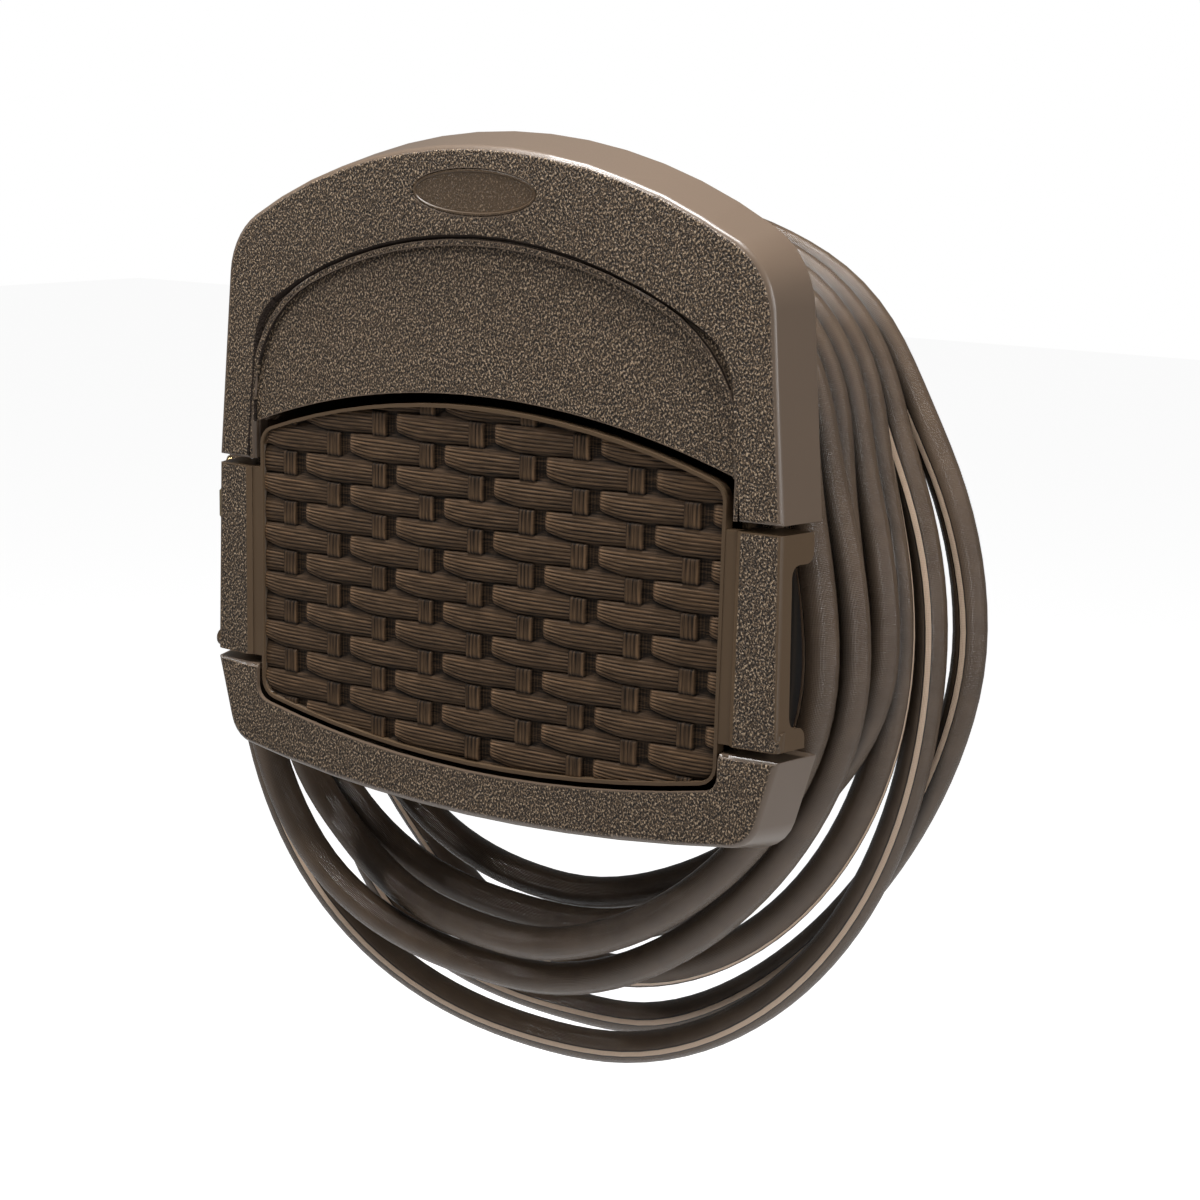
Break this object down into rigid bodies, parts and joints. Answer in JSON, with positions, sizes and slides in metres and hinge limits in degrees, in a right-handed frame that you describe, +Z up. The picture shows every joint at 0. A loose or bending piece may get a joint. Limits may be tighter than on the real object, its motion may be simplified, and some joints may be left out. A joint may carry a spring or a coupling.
{
  "type": "wall hose hanger",
  "caption": "Wall hose hanger: moulded hood and side grips round a woven tilt-out door with a storage bin, on a hollow hub with a garden hose wound over it.",
  "frame": {"origin": "on the wall plate's back face, level with the middle of the woven panel", "axes": "+Y into the wall, +X to the right as seen from the front, +Z up"},
  "size_m": [0.4819, 0.1823, 0.5499],
  "materials": {
    "brown_resin": "satin moulded resin with a fine grain",
    "woven_resin": "moulded wicker pattern, strands rubbed lighter on top",
    "dark_resin": "plain moulded resin",
    "hose_vinyl": "soft vinyl with a pale stripe",
    "steel": "plain zinc-plated steel",
    "brass": "turned brass",
    "seal_rubber": "black rubber"
  },
  "bodies": {
    "hanger": {"front_frame": "brown_resin", "hub_shell": "dark_resin", "wall_plate": "dark_resin", "frame_screw_1": "steel", "frame_screw_2": "steel", "frame_screw_3": "steel", "frame_screw_4": "steel", "frame_screw_5": "steel", "frame_screw_6": "steel", "hub_screw_1": "steel", "hub_screw_2": "steel", "hub_screw_3": "steel", "hub_screw_4": "steel", "hose": "hose_vinyl", "female_ferrule": "brass", "male_ferrule": "brass", "male_fitting": "brass", "swivel_nut": "brass", "female_stem": "brass", "hose_washer": "seal_rubber"},
    "door": {"door_frame": "brown_resin", "woven_panel": "woven_resin", "storage_bin": "dark_resin", "hinge_pin_right": "steel", "hinge_pin_left": "steel", "panel_screw_1": "steel", "panel_screw_2": "steel", "panel_screw_3": "steel", "panel_screw_4": "steel", "panel_screw_5": "steel", "panel_screw_6": "steel", "bin_screw_1": "steel", "bin_screw_2": "steel", "bin_screw_3": "steel", "bin_screw_4": "steel"}
  },
  "joints": [
    {"name": "door_hinge", "type": "hinge", "parent": "hanger", "child": "door", "pos_m": [0, -0.1687, -0.0555], "axis": [1, 0, 0], "range_deg": [0, 32]}
  ]
}
